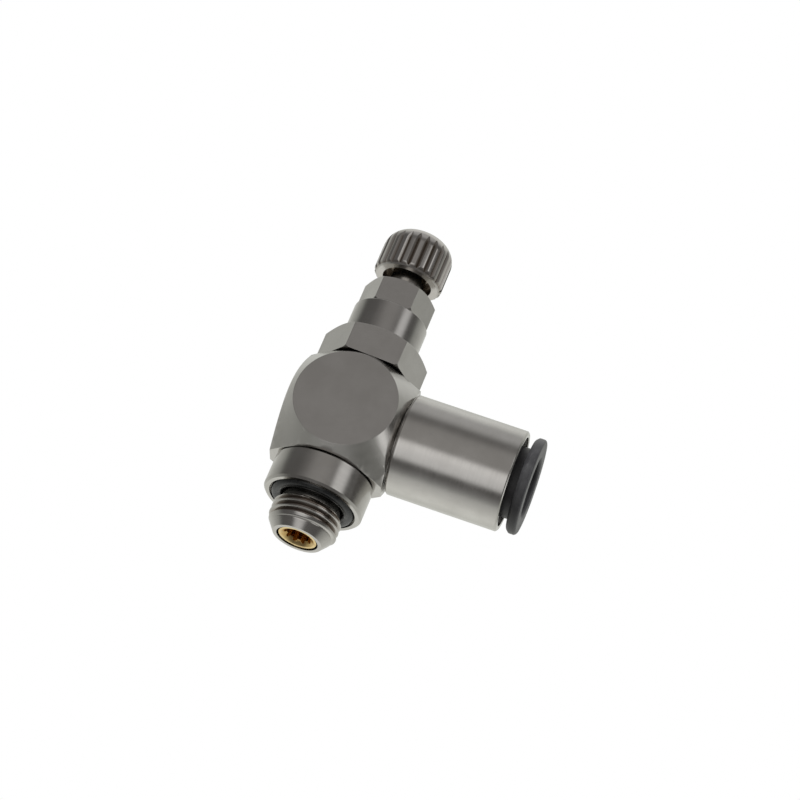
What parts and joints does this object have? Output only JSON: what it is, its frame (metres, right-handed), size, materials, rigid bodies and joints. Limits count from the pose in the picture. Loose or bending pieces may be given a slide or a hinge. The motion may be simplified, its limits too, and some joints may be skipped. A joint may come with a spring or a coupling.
{
  "type": "flow control valve",
  "caption": "Swivel-elbow pneumatic flow control valve: threaded stem with collar, swivelling square block, push-in tube arm, hexagon bonnet, lock nut and knurled needle knob.",
  "frame": {"origin": "on the stem axis, in the plane of the collar's sealing face", "axes": "+Z along the stem axis from the thread towards the knob; +X along the tube arm, out of its mouth"},
  "size_m": [0.0348, 0.016, 0.0497],
  "materials": {
    "nickel_plate": "satin nickel plate on turned brass",
    "nickel_plate_block": "satin nickel plate on milled and turned brass bar",
    "nickel_plate_sleeve": "nickel plate over fine circular turning marks",
    "nickel_plate_knob": "nickel plate on knurled brass",
    "bare_brass": "bare machined brass",
    "turned_brass": "nickel plate on a fine thread",
    "black_rubber": "nitrile rubber",
    "black_plastic": "moulded black acetal",
    "spring_steel": "stamped stainless spring steel"
  },
  "bodies": {
    "stem": {"threaded_stem": "nickel_plate", "port_face_o_ring": "black_rubber", "seat_nozzle": "bare_brass", "check_lip_seal": "black_rubber", "bonnet": "nickel_plate", "swivel_o_ring_lower": "black_rubber", "swivel_o_ring_upper": "black_rubber"},
    "swivel_body": {"banjo_body": "nickel_plate_block", "arm_sleeve": "nickel_plate_sleeve", "sleeve_o_ring": "black_rubber", "tube_o_ring": "black_rubber", "seal_support_ring": "bare_brass", "grip_ring": "spring_steel", "mouth_ring": "black_plastic"},
    "collet": {"release_collet": "black_plastic"},
    "needle_carriage": {"needle_o_ring": "black_rubber"},
    "adjuster": {"needle_screw": "turned_brass", "adjusting_knob": "nickel_plate_knob"},
    "lock_nut": {"lock_nut": "nickel_plate"}
  },
  "joints": [
    {"name": "block_swivel", "type": "hinge", "parent": "stem", "child": "swivel_body", "pos_m": [0, 0, 0.0127], "axis": [0, 0, 1], "continuous": true},
    {"name": "collet_push", "type": "slide", "parent": "swivel_body", "child": "collet", "axis": [-1, 0, 0], "range_m": [0, 0.001]},
    {"name": "needle_feed", "type": "slide", "parent": "stem", "child": "needle_carriage", "axis": [0, 0, 1], "range_m": [-0.00187, 0.00213]},
    {"name": "knob_turn", "type": "hinge", "parent": "needle_carriage", "child": "adjuster", "pos_m": [0, 0, 0.04], "axis": [0, 0, 1], "range_deg": [-1350, 1530]},
    {"name": "lock_nut_turn", "type": "hinge", "parent": "stem", "child": "lock_nut", "pos_m": [0, 0, 0.0325], "axis": [0, 0, 1], "range_deg": [0, 90]}
  ],
  "couplings": [
    {"joint": "knob_turn", "follows": "needle_feed", "rad_per_m": 12566}
  ]
}
